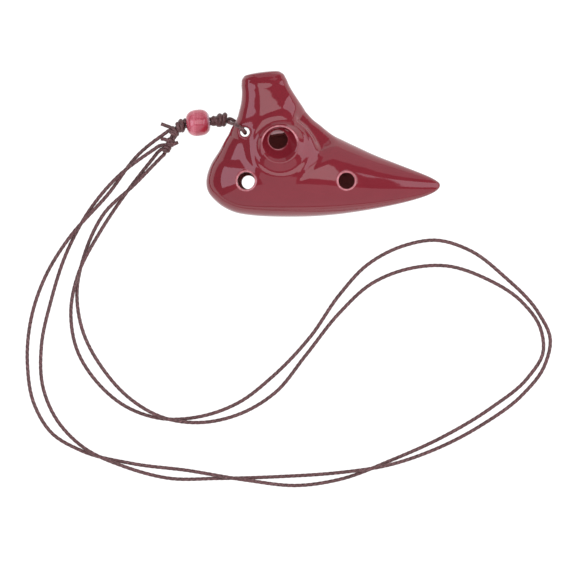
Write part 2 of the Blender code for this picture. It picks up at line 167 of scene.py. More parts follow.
LOOP_ROUTE = (
    (-0.0375, 0.0090, 0.0066),
    (-0.0366, 0.0086, 0.0071),
    (-0.0361, 0.0083, 0.0098),
    (-0.0361, 0.0082, 0.0150),
    (-0.0360, 0.0081, 0.0190),
    (-0.0353, 0.0078, 0.0226),
    (-0.0336, 0.0070, 0.0250),
    (-0.0320, 0.0058, 0.0259),
    (-0.0310, 0.0049, 0.0250),
    (-0.0307, 0.0046, 0.0230),
    (-0.0307, 0.0045, 0.0190),
    (-0.0307, 0.0045, 0.0130),
    (-0.0309, 0.0047, 0.0090),
    (-0.0320, 0.0061, 0.0064),
    (-0.0340, 0.0085, 0.0050),
    (-0.0359, 0.0100, 0.0044),
    (-0.0375, 0.0104, 0.0043),
)
NECKLACE_A_ROUTE = (
    (-0.0611, 0.0056), (-0.0722, -0.0029), (-0.0855, -0.0200), (-0.1005, -0.0369),
    (-0.1095, -0.0512), (-0.1156, -0.0690), (-0.1170, -0.0870), (-0.1143, -0.1027),
    (-0.1072, -0.1142), (-0.0959, -0.1209), (-0.0755, -0.1261), (-0.0531, -0.1289),
    (-0.0298, -0.1327), (-0.0103, -0.1348), (0.0066, -0.1324), (0.0273, -0.1247),
    (0.0476, -0.1155), (0.0667, -0.1040), (0.0811, -0.0922), (0.0872, -0.0820),
    (0.0861, -0.0724), (0.0788, -0.0621), (0.0642, -0.0527), (0.0494, -0.0479),
    (0.0343, -0.0489), (0.0194, -0.0548), (0.0067, -0.0663), (-0.0069, -0.0834),
    (-0.0190, -0.0981), (-0.0325, -0.1063), (-0.0479, -0.1098), (-0.0624, -0.1081),
    (-0.0761, -0.1006), (-0.0870, -0.0888), (-0.0952, -0.0733), (-0.0974, -0.0590),
    (-0.0941, -0.0424), (-0.0866, -0.0271), (-0.0745, -0.0156), (-0.0628, -0.0036),
)
NECKLACE_B_ROUTE = (
    (-0.0646, -0.0002), (-0.0806, -0.0120), (-0.0918, -0.0249), (-0.1008, -0.0410),
    (-0.1078, -0.0621), (-0.1115, -0.0799), (-0.1108, -0.0961), (-0.1051, -0.1092),
    (-0.0944, -0.1199), (-0.0787, -0.1272), (-0.0612, -0.1319), (-0.0415, -0.1320),
    (-0.0178, -0.1313), (0.0060, -0.1297), (0.0266, -0.1265), (0.0460, -0.1198),
    (0.0633, -0.1106), (0.0788, -0.0991), (0.0877, -0.0875), (0.0900, -0.0765),
    (0.0854, -0.0665), (0.0718, -0.0520), (0.0580, -0.0416), (0.0451, -0.0377),
    (0.0319, -0.0399), (0.0175, -0.0475), (0.0067, -0.0591), (-0.0049, -0.0758),
    (-0.0202, -0.0919), (-0.0336, -0.1021), (-0.0487, -0.1075), (-0.0645, -0.1082),
    (-0.0777, -0.1037), (-0.0896, -0.0937), (-0.0974, -0.0810), (-0.0998, -0.0670),
    (-0.0970, -0.0516), (-0.0886, -0.0350), (-0.0774, -0.0182), (-0.0655, -0.0030),
)
# The barrel knot: wraps as (place on the bead's axis, length, radii, turns, lean, cord radius), and
# the place and half sizes of its filling, a dark ball of painted shade inside the wraps.
BARREL_WRAPS = (
    (0.0061, 0.0014, (0.00130, 0.00135), 1.6, 0.0002, 0.00080),
    (0.0092, 0.0040, (0.00170, 0.00185), 2.7, 0.0009, 0.00098),
)
BARREL_CORE = (0.0089, (0.0033, 0.0019, 0.0019))
STRAND_SPAN = (-0.0060, 0.0112)
# Knots: wraps as (middle, direction, length, radii, turns, lean), the half sizes of the filling
# (a dark ball of painted shade), the cords that lead from one knot to the next or to a strand's end, and
# the cut tails.
KNOT_CORD_RADIUS = 0.00090
STOP_WRAPS = (
    ((-0.0560, 0.0076, 0.0047), (0.98, 0.12), 0.0030, (0.00185, 0.00190), 2.0, 0.0004),
    ((-0.0588, 0.0053, 0.0040), (0.80, 0.60), 0.0024, (0.00150, 0.00155), 1.8, 0.0005),
)
STOP_CORES = ((0.0020, 0.0021, 0.0020), (0.0018, 0.0018, 0.0016))
STOP_LINKS = (
    (
        (-0.0578, 0.0060, 0.0044), (-0.0594, 0.0058, 0.0042),
        (-0.0611, 0.0056, 0.0036), (-0.0616, 0.0053, 0.0034),
    ),
    (
        (-0.0580, 0.0040, 0.0044), (-0.0588, 0.0028, 0.0038),
        (-0.0597, 0.0016, 0.0036), (-0.0606, 0.0004, 0.0034),
    ),
    (
        (-0.0594, 0.0040, 0.0036), (-0.0602, 0.0026, 0.0032),
        (-0.0610, 0.0012, 0.0030), (-0.0618, -0.0002, 0.0030),
    ),
)
TIE_WRAPS = (
    ((-0.0602, 0.0012, 0.0030), (0.60, 0.80), 0.0026, (0.00115, 0.00120), 1.8, 0.0006),
    ((-0.0618, -0.0012, 0.0026), (0.45, 0.89), 0.0026, (0.00095, 0.00100), 1.8, 0.0004),
)
TIE_CORES = ((0.0015, 0.0015, 0.0013), (0.0014, 0.0015, 0.0012))
TIE_LINKS = (
    (
        (-0.0606, 0.0004, 0.0036), (-0.0624, 0.0000, 0.0030),
        (-0.0640, -0.0001, 0.0026), (-0.0650, -0.0006, 0.0025),
    ),
    (
        (-0.0612, -0.0008, 0.0034), (-0.0622, -0.0022, 0.0024),
        (-0.0628, -0.0036, 0.0014), (-0.0631, -0.0043, 0.0012),
    ),
    (
        (-0.0622, -0.0010, 0.0030), (-0.0640, -0.0018, 0.0020),
        (-0.0655, -0.0030, 0.0013), (-0.0660, -0.0036, 0.0012),
    ),
)
TAIL_ROUTES = {
    "stop_knot_tail": ((-0.0590, 0.0064, 0.0046), (-0.0618, 0.0075, 0.0042), (-0.0640, 0.0083, 0.0044)),
    "tie_knot_tail_a": ((-0.0606, 0.0014, 0.0042), (-0.0626, 0.0022, 0.0044), (-0.0641, 0.0024, 0.0043)),
    "tie_knot_tail_b": ((-0.0604, -0.0004, 0.0036), (-0.0588, 0.0004, 0.0036), (-0.0573, 0.0010, 0.0034)),
}
# How far along each strand it passes over the other one or itself, and how far its ends rise.
A_OVER_AT = (0.0510, 0.2169, 0.5462, 0.6586)
B_OVER_AT = (0.0165, 0.1496, 0.2585, 0.6278)
HUMP_REACH = 0.022
A_END_RISE = (0.0028, 0.0012)
B_END_RISE = (0.0022, 0.0006)
END_REACH = 0.014


# Curves and fields --------------------------------------------------------------------------


def along_curve(stations, at):
    """The stations' other columns at these places, on a smooth curve through the stations."""
    table = np.array(stations)
    places, values = table[:, 0], table[:, 1:]
    slopes = np.gradient(values, places, axis=0)
    i = np.clip(np.searchsorted(places, at) - 1, 0, len(places) - 2)
    step = (places[i + 1] - places[i])[:, None]
    t = ((at - places[i]) / step[:, 0])[:, None]
    return (
        values[i] * (1 + 2 * t) * (1 - t) ** 2
        + values[i + 1] * t**2 * (3 - 2 * t)
        + step * (slopes[i] * t * (1 - t) ** 2 - slopes[i + 1] * t**2 * (1 - t))
    )


def through_points(points, count):
    """This many points, evenly spaced, on a smooth curve through the given ones."""
    table = np.array(points, float)
    steps = np.linalg.norm(np.diff(table, axis=0), axis=1)
    places = np.concatenate([[0], np.cumsum(steps)])
    fine = along_curve(np.column_stack([places, table]), np.linspace(0, places[-1], 4000))
    walked = np.concatenate([[0], np.cumsum(np.linalg.norm(np.diff(fine, axis=0), axis=1))])
    wanted = np.linspace(0, walked[-1], count)
    return np.column_stack([np.interp(wanted, walked, column) for column in fine.T]), wanted


def ease(value, low, high):
    """0 at low, 1 at high, smooth between, either way round."""
    t = np.clip((value - low) / (high - low), 0, 1)
    return t * t * (3 - 2 * t)


class Sections:
    """A form's sections along its axis: middle across, middle up, squared half width, flatness."""

    def __init__(self, places, middle, up, squared, flatness):
        stations = np.column_stack([places, middle, up, squared, flatness])
        self.at = np.linspace(places[0], places[-1], 1500)
        self.columns = along_curve(stations, self.at).T
        self.slope = np.gradient(self.columns[2], self.at)

    def read(self, place):
        """Columns at these places; past either end the squared half width runs on below zero."""
        held = np.clip(place, self.at[0], self.at[-1])
        middle, up, squared, flatness = (np.interp(held, self.at, c) for c in self.columns)
        slope = np.interp(held, self.at, self.slope)
        return middle, up, squared + slope * (place - held), flatness, slope


def section_field(across, up, squared, flatness, slope, power):
    """Nearly the distance to the skin of a form whose sections are rounded ovals; negative inside."""
    a, b = np.abs(across) + 1e-9, np.abs(up) / flatness + 1e-9
    radius = (a**power + b**power) ** (1 / power)
    steep = np.hypot((a / radius) ** (power - 1), (b / radius) ** (power - 1) / flatness)
    half = np.sqrt(np.maximum(squared, 0))
    return (radius**2 - squared) / np.sqrt(((radius + half) * steep) ** 2 + slope**2 + 1e-12)


def soft_min(a, b, width):
    reach = np.maximum(width - np.abs(a - b), 0) / width
    return np.minimum(a, b) - reach * reach * width / 4


def soft_max(a, b, width):
    return -soft_min(-a, -b, width)


def body_sections():
    x, near, far, middle = np.array(BODY_SECTIONS).T
    flatness = along_curve(BODY_FLATNESS, x)[:, 0]
    return Sections(x, (near + far) / 2, middle, ((far - near) / 2) ** 2, flatness)


def mouth_sections():
    v, left, right, low, high = np.array(MOUTH_SECTIONS).T
    width, height = right - left, high - low
    width[-1], height[-1] = width[-2], height[-2]
    flatness = height / width
    return Sections(v, (left + right) / 2, (low + high) / 2, ((right - left) / 2) ** 2, flatness)


BODY = body_sections()
MOUTH = mouth_sections()


def body_field(x, y, z):
    middle, up, squared, flatness, slope = BODY.read(x)
    return section_field(y - middle, z - up, squared, flatness, slope, 2)


def mouth_axes(x, y):
    """Across and along the mouthpiece."""
    dx, dy = x - MOUTH_ROOT[0], y - MOUTH_ROOT[1]
    u = dx * math.cos(MOUTH_LEAN) + dy * math.sin(MOUTH_LEAN)
    v = dy * math.cos(MOUTH_LEAN) - dx * math.sin(MOUTH_LEAN)
    return u, v


def mouth_field(x, y, z):
    u, v = mouth_axes(x, y)
    middle, up, squared, flatness, slope = MOUTH.read(v)
    skin = section_field(u - middle, z - up, squared, flatness, slope, MOUTH_POWER)
    return np.maximum(skin, MOUTH_SECTIONS[0][0] - v)


def slanted_cone(x, y, z, first, second, below=3.0, power=1.0):
    """The skin of a cone through two level circles, carried on past the second.

    It goes on for "below" times its height; a power other than 1 curves it between the circles.
    """
    t = np.clip((z - first[2]) / (second[2] - first[2]), 0, below)
    grow = np.where(t < 1, t**power, t)
    centre_x = first[0] + t * (second[0] - first[0])
    centre_y = first[1] + t * (second[1] - first[1])
    radius = first[3] + grow * (second[3] - first[3])
    lean = (second[3] - first[3]) / (second[2] - first[2])
    return (np.hypot(x - centre_x, y - centre_y) - radius) / math.hypot(1, lean)


def pipe(x, y, hole):
    return np.hypot(x - hole[0], y - hole[1]) - hole[2]


def fall_field(x, y, z, at, heading, height, slope, middle, half_span):
    """A slanted plane that fades upwards past the ends of its span."""
    dx, dy = x - at[0], y - at[1]
    outwards = dx * heading[0] + dy * heading[1]
    along = dx * heading[1] - dy * heading[0]
    limit = height - slope * outwards + FALL_FADE * np.maximum(np.abs(along - middle) - half_span, 0)
    return (z - limit) / math.hypot(1, slope)


def outer_field(x, y, z):
    """The whole outside of the vessel, before anything is cut into it."""
    skin = soft_min(body_field(x, y, z), mouth_field(x, y, z), MOUTH_BLEND)
    for *fall, rounding in FALLS:
        skin = soft_max(skin, fall_field(x, y, z, *fall), rounding)
    away = np.hypot(x - MOUND_FADE_AT[0], y - MOUND_FADE_AT[1])
    rise = MOUND_SINK + MOUND_RISE * ease(away, *MOUND_FADE)
    allowed = skin + MOUND_SINK - rise * ease(z, *MOUND_HEIGHTS)
    ledge = z - MOUND[0][2] + MOUND_SLOPE * (y - MOUND_LEVEL_Y)
    mound = soft_max(slanted_cone(x, y, z, *MOUND), ledge, MOUND_ROUNDING)
    skin = soft_min(skin, soft_max(mound, allowed, MOUND_ROUNDING), MOUND_BLEND)
    flank = soft_max(slanted_cone(x, y, z, *FLANK, below=1.5), z - FLANK[0][2], SHARP_ROUNDING)
    flank = np.maximum(flank, FLANK[1][2] - FLANK_DEPTH - z)
    skin = soft_min(skin, flank, FLANK_BLEND)
    return soft_max(skin, -z, BELLY_ROUNDING)


def chamber_field(x, y, z):
    return soft_max(body_field(x, y, z) + WALL, x - CHAMBER_END_X, CHAMBER_ROUNDING)


def crater_field(x, y, z):
    """The crater and the well under its window, into which the windway's floor juts a little."""
    well = slanted_cone(x, y, z, WINDOW, CRATER_RIM, power=CRATER_POWER)
    well = np.maximum(well, MIDDLE_Z - z)
    u, v = mouth_axes(x - WINDOW[0] + MOUTH_ROOT[0], y - WINDOW[1] + MOUTH_ROOT[1])
    sill = np.maximum(np.abs(u) - WINDWAY_EXIT[0] / 2, WINDWAY_SILL[0] - v)
    sill = np.maximum(sill, z - WINDWAY_SILL[1])
    return soft_max(well, -sill, SILL_ROUNDING)


def windway_field(x, y, z):
    """A flat tapered channel from the mouthpiece's end to the window's upper wall."""
    u, v = mouth_axes(x, y)
    exit_u, exit_v = mouth_axes(WINDOW[0], WINDOW[1] + WINDOW[3] - WINDWAY_OVERLAP)
    end_u, end_v, end_z = MOUTH_SECTIONS[-1][1], MOUTH_SECTIONS[-1][0], MOUTH_SECTIONS[-1][3]
    t = (v - exit_v) / (end_v - exit_v)
    half_width = (WINDWAY_EXIT[0] + (WINDWAY_MOUTH[0] - WINDWAY_EXIT[0]) * t) / 2
    half_height = (WINDWAY_EXIT[1] + (WINDWAY_MOUTH[1] - WINDWAY_EXIT[1]) * t) / 2
    across = np.abs(u - exit_u - (end_u - exit_u) * t) - half_width
    upwards = np.abs(z - WINDWAY_EXIT_Z - (end_z - WINDWAY_EXIT_Z) * t) - half_height
    return np.maximum(soft_max(across, upwards, WINDWAY_ROUNDING), exit_v - v)


def hole_fields(x, y, z):
    """The drilled holes, each kept to its own side of the vessel."""
    thumbs = np.minimum.reduce([pipe(x, y, hole) for hole in THUMB_HOLES])
    fingers = np.minimum.reduce([pipe(x, y, hole) for hole in FINGER_HOLES])
    return np.maximum(thumbs, MIDDLE_Z - z), np.maximum(fingers, z - MIDDLE_Z)


def vessel_field(x, y, z):
    solid = soft_max(outer_field(x, y, z), -chamber_field(x, y, z), SHARP_ROUNDING)
    for hole in hole_fields(x, y, z):
        solid = soft_max(solid, -hole, HOLE_ROUNDING)
    solid = soft_max(solid, -pipe(x, y, LANYARD_HOLE), HOLE_ROUNDING)
    solid = soft_max(solid, -windway_field(x, y, z), SILL_ROUNDING)
    upper, lower = CRATER_ROUNDING
    rounding = upper + (lower - upper) * ease(y, *CRATER_ROUNDING_Y)
    return soft_max(solid, -crater_field(x, y, z), rounding)


# Meshing ------------------------------------------------------------------------------------


def surface_net(field, low, high, step):
    """Points and outward quads on the field's zero, one point in each grid cell that it crosses."""
    axes = [np.arange(a, b + step, step) for a, b in zip(low, high)]
    grid = field(axes[0][:, None, None], axes[1][None, :, None], axes[2][None, None, :])
    grid = np.ascontiguousarray(np.broadcast_to(grid, [len(a) for a in axes]))
    cells = tuple(n - 1 for n in grid.shape)
    total, count = np.zeros((3, *cells)), np.zeros(cells)
    crossings = []
    for a in range(3):
        b, c = (a + 1) % 3, (a + 2) % 3
        first = grid.take(range(grid.shape[a] - 1), axis=a)
        second = grid.take(range(1, grid.shape[a]), axis=a)
        crossing = (first < 0) != (second < 0)
        share = np.where(crossing, first / np.where(crossing, first - second, 1), 0)
        crossings.append((crossing, first < 0))
        for db in (0, 1):
            for dc in (0, 1):
                view = [slice(None)] * 3
                view[b], view[c] = slice(db, cells[b] + db), slice(dc, cells[c] + dc)
                hit = crossing[tuple(view)]
                count += hit
                total[a] += share[tuple(view)]
                total[b] += hit * db
                total[c] += hit * dc
    active = count > 0
    index = np.full(cells, -1)
    index[active] = np.arange(active.sum())
    offset = total[:, active] / count[active]
    points = (np.array(np.nonzero(active)) + offset).T * step + np.array(low)
    quads = []
    for a, (crossing, inside) in enumerate(crossings):
        b, c = (a + 1) % 3, (a + 2) % 3
        view = [slice(None)] * 3
        view[b], view[c] = slice(1, -1), slice(1, -1)
        at = np.array(np.nonzero(crossing[tuple(view)]))
        outward = inside[tuple(view)][tuple(at)]
        corner = []
        for db, dc in ((0, 0), (1, 0), (1, 1), (0, 1)):
            cell = at.copy()
            cell[b] += db
            cell[c] += dc
            corner.append(index[tuple(cell)])
        ring = np.array(corner).T
        quads.append(np.where(outward[:, None], ring, ring[:, ::-1]))
    return points, np.concatenate(quads)


def field_slope(field, points, reach=2e-5):
    x, y, z = points.T
    slope = np.empty_like(points)
    slope[:, 0] = field(x + reach, y, z) - field(x - reach, y, z)
    slope[:, 1] = field(x, y + reach, z) - field(x, y - reach, z)
    slope[:, 2] = field(x, y, z + reach) - field(x, y, z - reach)
    return slope / (2 * reach)


def settle(field, points, quads, step):
    """Evens the points out along the skin and pulls them exactly onto it."""
    edges = np.concatenate([quads[:, [i, (i + 1) % 4]] for i in range(4)])
    edges = np.unique(np.sort(edges, axis=1), axis=0)
    ends = np.concatenate([edges[:, 0], edges[:, 1]])
    others = np.concatenate([edges[:, 1], edges[:, 0]])
    neighbours = np.bincount(ends, minlength=len(points))[:, None]
    for turn in range(9):
        slope = field_slope(field, points)
        square = np.sum(slope * slope, axis=1, keepdims=True) + 1e-6
        move = -field(*points.T)[:, None] * slope / square
        points = points + np.clip(move, -0.6 * step, 0.6 * step)
        if turn in (1, 3, 5):
            around = np.stack(
                [np.bincount(ends, weights=points[others, i], minlength=len(points)) for i in range(3)],
                axis=1,
            )
            pull = around / neighbours - points
            normal = slope / np.sqrt(square)
            pull -= normal * np.sum(pull * normal, axis=1, keepdims=True)
            points = points + 0.5 * pull
    return points


def mesh_from(name, points, faces, normals=None):
    mesh = bpy.data.meshes.new(name)
    mesh.vertices.add(len(points))
    mesh.vertices.foreach_set("co", np.asarray(points, np.float32).ravel())
    size = faces.shape[1]
    mesh.loops.add(faces.size)
    mesh.loops.foreach_set("vertex_index", faces.ravel().astype(np.int32))
    mesh.polygons.add(len(faces))
    mesh.polygons.foreach_set("loop_start", np.arange(0, faces.size, size, dtype=np.int32))
    mesh.update(calc_edges=True)
    mesh.validate()
    mesh.shade_smooth()
    if normals is not None:
        mesh.normals_split_custom_set_from_vertices(normals.tolist())
    return mesh


def add_piece(name, mesh, material, body, replaced):
    obj = bpy.data.objects.new(name, mesh)
    bpy.context.scene.collection.objects.link(obj)
    mesh.materials.clear()
    mesh.materials.append(material)
    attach(obj, body)
    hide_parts(*replaced)
    return obj


def set_attribute(mesh, name, values):
    attribute = mesh.attributes.new(name, "FLOAT", "POINT")
    attribute.data.foreach_set("value", np.asarray(values, np.float32))


# Materials ----------------------------------------------------------------------------------


class Nodes:
    """Short calls for building a node material."""

    def __init__(self, name):
        self.material = bpy.data.materials.new(name)
        self.material.use_nodes = True
        self.tree = self.material.node_tree
        self.shader = self.tree.nodes["Principled BSDF"]

    def add(self, kind, **settings):
        node = self.tree.nodes.new(kind)
        for key, value in settings.items():
            if key in node.inputs:
                node.inputs[key].default_value = value
            else:
                setattr(node, key, value)
        return node

    def link(self, source, target):
        self.tree.links.new(source, target)

    def attribute(self, name):
        return self.add("ShaderNodeAttribute", attribute_name=name).outputs["Fac"]

    def noise(self, scale, detail=4.0, stretch=(1, 1, 1), roughness=0.5):
        place = self.add("ShaderNodeTexCoord")
        mapping = self.add("ShaderNodeMapping")
        mapping.inputs["Scale"].default_value = stretch
        self.link(place.outputs["Object"], mapping.inputs["Vector"])
        noise = self.add("ShaderNodeTexNoise", Scale=scale, Detail=detail, Roughness=roughness)
        self.link(mapping.outputs["Vector"], noise.inputs["Vector"])
        return noise.outputs["Fac"]

    def ramp(self, source, *stops):
        """A colour ramp; each stop is (position, (red, green, blue))."""
        ramp = self.add("ShaderNodeValToRGB")
        elements = ramp.color_ramp.elements
        while len(elements) < len(stops):
            elements.new(0.5)
        for element, (position, colour) in zip(elements, stops):
            element.position = position
            element.color = (*colour, 1.0)
        self.link(source, ramp.inputs["Fac"])
        return ramp.outputs["Color"]

    def mix(self, share, first, second):
        node = self.add("ShaderNodeMix", data_type="RGBA")
        self.link(share, node.inputs["Factor"])
        colours = [socket for socket in node.inputs if socket.type == "RGBA"]
        for socket, value in zip(colours, (first, second)):
            if isinstance(value, tuple):
                socket.default_value = (*value, 1.0)
            else:
                self.link(value, socket)
        return [socket for socket in node.outputs if socket.type == "RGBA"][0]

    def spread(self, source, low, high):
        """The source, 0 to 1, spread from low to high."""
        node = self.add("ShaderNodeMapRange")
        node.inputs["To Min"].default_value = low
        node.inputs["To Max"].default_value = high
        self.link(source, node.inputs["Value"])
        return node.outputs["Result"]

    def bump(self, source, strength, distance):
        node = self.add("ShaderNodeBump", Strength=strength, Distance=distance)
        self.link(source, node.inputs["Height"])
        self.link(node.outputs["Normal"], self.shader.inputs["Normal"])


GLAZE_RED = (0.222, 0.0170, 0.028)
GLAZE_DEEP = (0.190, 0.0130, 0.0225)
GLAZE_THIN = (0.80, 0.34, 0.36)
BARE_CLAY = (0.52, 0.130, 0.120)
BARE_CLAY_DARK = (0.32, 0.080, 0.075)
# A painted highlight, pale grey-pink, for the upper wall of the window's well.
SILL_HIGHLIGHT = (0.55, 0.36, 0.36)


def glaze_material():
    """Deep red glossy glaze, pale where it thins over edges, and bare brown clay inside, with a painted
    highlight on the window well's upper wall.
    """
    n = Nodes("red_glaze")
    red = n.mix(n.spread(n.noise(160, 3), 0.0, 1.0), GLAZE_DEEP, GLAZE_RED)
    clay = n.mix(n.noise(900, 6), BARE_CLAY_DARK, BARE_CLAY)
    glazed = n.mix(n.attribute("thin_glaze"), red, GLAZE_THIN)
    bare = n.mix(n.attribute("bare_clay"), glazed, clay)
    # Painted highlight on the window well's upper wall and the windway's sill.
    n.link(n.mix(n.attribute("sill_highlight"), bare, SILL_HIGHLIGHT), n.shader.inputs["Base Color"])
    n.link(n.spread(n.attribute("bare_clay"), 0.06, 0.75), n.shader.inputs["Roughness"])
    n.shader.inputs["IOR"].default_value = 1.55
    n.bump(n.noise(260, 2), 0.04, 0.0003)
    return n.material


def cord_material():
    """Waxed three-ply cord: painted shade in the grooves between plies, on the cut ends and on the knots'
    fillings, leaving the ply tops paler, and maroon flecks.
    """
    n = Nodes("waxed_cord")
    flecks = n.ramp(
        n.noise(1100, 3, roughness=0.6),
        (0.30, (0.050, 0.022, 0.020)),
        (0.50, (0.120, 0.060, 0.055)),
        (0.72, (0.240, 0.125, 0.125)),
    )
    # Painted shade: the grooves between the plies, the cut ends and the knots' fillings are darkened
    # towards near black.
    painted_shade = n.mix(n.attribute("painted_shade"), flecks, (0.030, 0.012, 0.011))
    patches = n.mix(n.spread(n.noise(220, 2), -0.4, 0.8), painted_shade, (0.135, 0.040, 0.045))
    n.link(patches, n.shader.inputs["Base Color"])
    n.link(n.spread(n.noise(1500, 2), 0.42, 0.62), n.shader.inputs["Roughness"])
    n.bump(n.noise(3500, 3), 0.35, 0.0001)
    return n.material


def bead_material():
    """Pink lampwork bead: bands across the bore's axis, a crimson patch and a milky rim."""
    n = Nodes("pink_bead")
    bands = n.ramp(
        n.noise(230, 2, stretch=(1.9, 0.14, 0.14)),
        (0.30, (0.42, 0.055, 0.085)),
        (0.44, (0.48, 0.075, 0.110)),
        (0.56, (0.55, 0.115, 0.155)),
        (0.70, (0.66, 0.200, 0.245)),
    )
    crimson = n.mix(n.attribute("crimson"), bands, (0.42, 0.022, 0.040))
    milky = n.mix(n.attribute("milky"), crimson, (0.70, 0.52, 0.60))
    n.link(milky, n.shader.inputs["Base Color"])
    n.shader.inputs["Roughness"].default_value = 0.12
    n.shader.inputs["Coat Weight"].default_value = 0.3
    n.bump(n.noise(500, 2), 0.03, 0.0002)
    return n.material


# The ceramic body ---------------------------------------------------------------------------


def build_vessel(material):
    low = (-0.0480, -0.0305, -0.0010)
    high = (0.0480, 0.0305, 0.0305)
    points, quads = surface_net(vessel_field, low, high, GRID_STEP)
    points = settle(vessel_field, points, quads, GRID_STEP)
    slope = field_slope(vessel_field, points)
    normals = slope / np.linalg.norm(slope, axis=1, keepdims=True)
    mesh = mesh_from("glazed_vessel", points, quads, normals)
    x, y, z = points.T

    outside = -outer_field(x, y, z)
    thumbs, fingers = hole_fields(x, y, z)
    rims = np.minimum(np.abs(thumbs), np.abs(fingers))
    uneven = 0.75 + 0.15 * np.sin(2300 * x + 1700 * y) + 0.10 * np.sin(3100 * y - 1300 * x)
    rim = uneven * ease(np.hypot(rims, outside), *RIM_RUN)
    lanyard = 0.35 * ease(np.hypot(pipe(x, y, LANYARD_HOLE), outside), *LANYARD_RUN)
    crater = np.hypot(crater_field(x, y, z), outside)
    upper = ease(y - CRATER_RIM[1], 0.0000, 0.0035)
    crater = 0.9 * ease(crater, *CRATER_RUN) * upper
    from_window = np.hypot(x - WINDOW[0], y - WINDOW[1])
    window_edge = np.abs(from_window - WINDOW[3])
    lower_left = ease(WINDOW[0] - x + WINDOW[1] - y, -0.0010, 0.0030)
    window = ease(np.hypot(window_edge, z - WINDOW[2]), *WINDOW_RUN) * (0.08 + 0.5 * lower_left)
    set_attribute(mesh, "thin_glaze", np.maximum.reduce([rim, lanyard, crater, window]))

    in_chamber = ease(-chamber_field(x, y, z), -0.0008, -0.0003)
    deep = ease(outside, 0.0011, 0.0019) * ease(rims, 0.0009, 0.0005)
    in_well = ease(z, WINDOW[2] - 0.0002, WINDOW[2] - 0.0008) * ease(window_edge, 0.0009, 0.0005)
    in_windway = ease(windway_field(x, y, z), 0.0003, 0.0001) * ease(outside, 0.0015, 0.0025)
    set_attribute(mesh, "bare_clay", np.maximum.reduce([in_chamber, deep, in_well, in_windway]))
    # Painted highlight: a pale band on the window well's upper wall and the windway's sill, below its
    # exit.
    on_sill = ease(y - WINDOW[1], 0.0016, 0.0022) * ease(from_window, 0.0040, 0.0036)
    pale = on_sill * ease(z, WINDOW[2] - 0.0003, WINDOW[2] - 0.0008) * ease(z, 0.0200, 0.0215)
    set_attribute(mesh, "sill_highlight", pale)
    nodes = ("voicing_half", "finger_half", "mouthpiece", "voicing_collar")
    return add_piece("glazed_vessel", mesh, material, "vessel", nodes)


# Cords --------------------------------------------------------------------------------------

PLIES = 3
PLY_PITCH = 0.0066
SIDES = 15
RING_STEP = 0.00045


def travelling_frames(path):
    """Two directions square to the path at each of its points, turning as little as they can."""
    ahead = np.gradient(path, axis=0)
    ahead /= np.linalg.norm(ahead, axis=1, keepdims=True)
    side = np.cross(ahead[0], (0.0, 0.0, 1.0))
    if np.linalg.norm(side) < 0.1:
        side = np.cross(ahead[0], (1.0, 0.0, 0.0))
    sides = []
    for direction in ahead:
        side = side - direction * np.dot(side, direction)
        side = side / np.linalg.norm(side)
        sides.append(side)
    sides = np.array(sides)
    return sides, np.cross(sides, ahead)


def twisted_tube(path, radius=CORD_RADIUS, turn=0.0):
    """Points, faces and painted shade of a closed three-ply twisted tube along the path, deepest in the
    grooves between plies.
    """
    count = len(path)
    first, second = travelling_frames(path)
    walked = np.concatenate([[0], np.cumsum(np.linalg.norm(np.diff(path, axis=0), axis=1))])
    angle = np.linspace(0, math.tau, SIDES, endpoint=False)[None, :]
    phase = PLIES * (angle - math.tau * walked[:, None] / PLY_PITCH - turn) / 2
    crown = np.abs(np.cos(phase))
    reach = radius * (0.88 + 0.12 * crown)
    rings = (
        path[:, None, :]
        + first[:, None, :] * (reach * np.cos(angle))[:, :, None]
        + second[:, None, :] * (reach * np.sin(angle))[:, :, None]
    )
    points = np.concatenate([rings.reshape(-1, 3), path[:1], path[-1:]])
    ring, around = np.meshgrid(np.arange(count - 1), np.arange(SIDES), indexing="ij")
    here, after = ring * SIDES + around, ring * SIDES + (around + 1) % SIDES
    quads = np.stack([here, after, after + SIDES, here + SIDES], axis=2).reshape(-1, 4)
    start, last = count * SIDES, (count - 1) * SIDES
    caps = [(start, (i + 1) % SIDES, i) for i in range(SIDES)]
    caps += [(start + 1, last + i, last + (i + 1) % SIDES) for i in range(SIDES)]
    # Painted shade: full in the grooves between the plies, part strength on the end caps.
    painted_shade = np.concatenate([ease(crown, 0.45, 0.0).ravel(), [0.6, 0.6]])
    return points, quads.tolist() + caps, painted_shade


def core_ball(centre, half_sizes, rings=14, sides=20):
    """Points, faces and painted shade of the filling inside a knot, a dark ball that stands in for the
    shade within the knot.
    """
    down = np.linspace(0, math.pi, rings + 1)[1:-1, None]
    turn = np.linspace(0, math.tau, sides, endpoint=False)[None, :]
    level = [np.sin(down) * np.cos(turn), np.sin(down) * np.sin(turn), np.cos(down) + 0 * turn]
    unit = np.stack(level, axis=2)
    points = np.concatenate([unit.reshape(-1, 3), [(0, 0, 1), (0, 0, -1)]]) * half_sizes + centre
    last = (rings - 2) * sides
    top = last + sides
    faces = []
    for i in range(sides):
        j = (i + 1) % sides
        for ring in range(0, last, sides):
            faces.append((ring + i, ring + sides + i, ring + sides + j, ring + j))
        faces.append((top, i, j))
        faces.append((top + 1, last + j, last + i))
    # The filling is painted nearly full shade.
    return points, faces, np.full(len(points), 0.9)


def joined_mesh(name, parts):
    points, faces, painted_shade = [], [], []
    for part_points, part_faces, part_painted_shade in parts:
        start = sum(len(p) for p in points)
        points.append(part_points)
        faces += [tuple(start + i for i in face) for face in part_faces]
        painted_shade.append(part_painted_shade)
    mesh = bpy.data.meshes.new(name)
    mesh.from_pydata(np.concatenate(points).tolist(), [], faces)
    mesh.validate()
    mesh.shade_smooth()
    # Stores the painted shade of the ply grooves, cut ends and knot fillings.
    set_attribute(mesh, "painted_shade", np.concatenate(painted_shade))
    return mesh


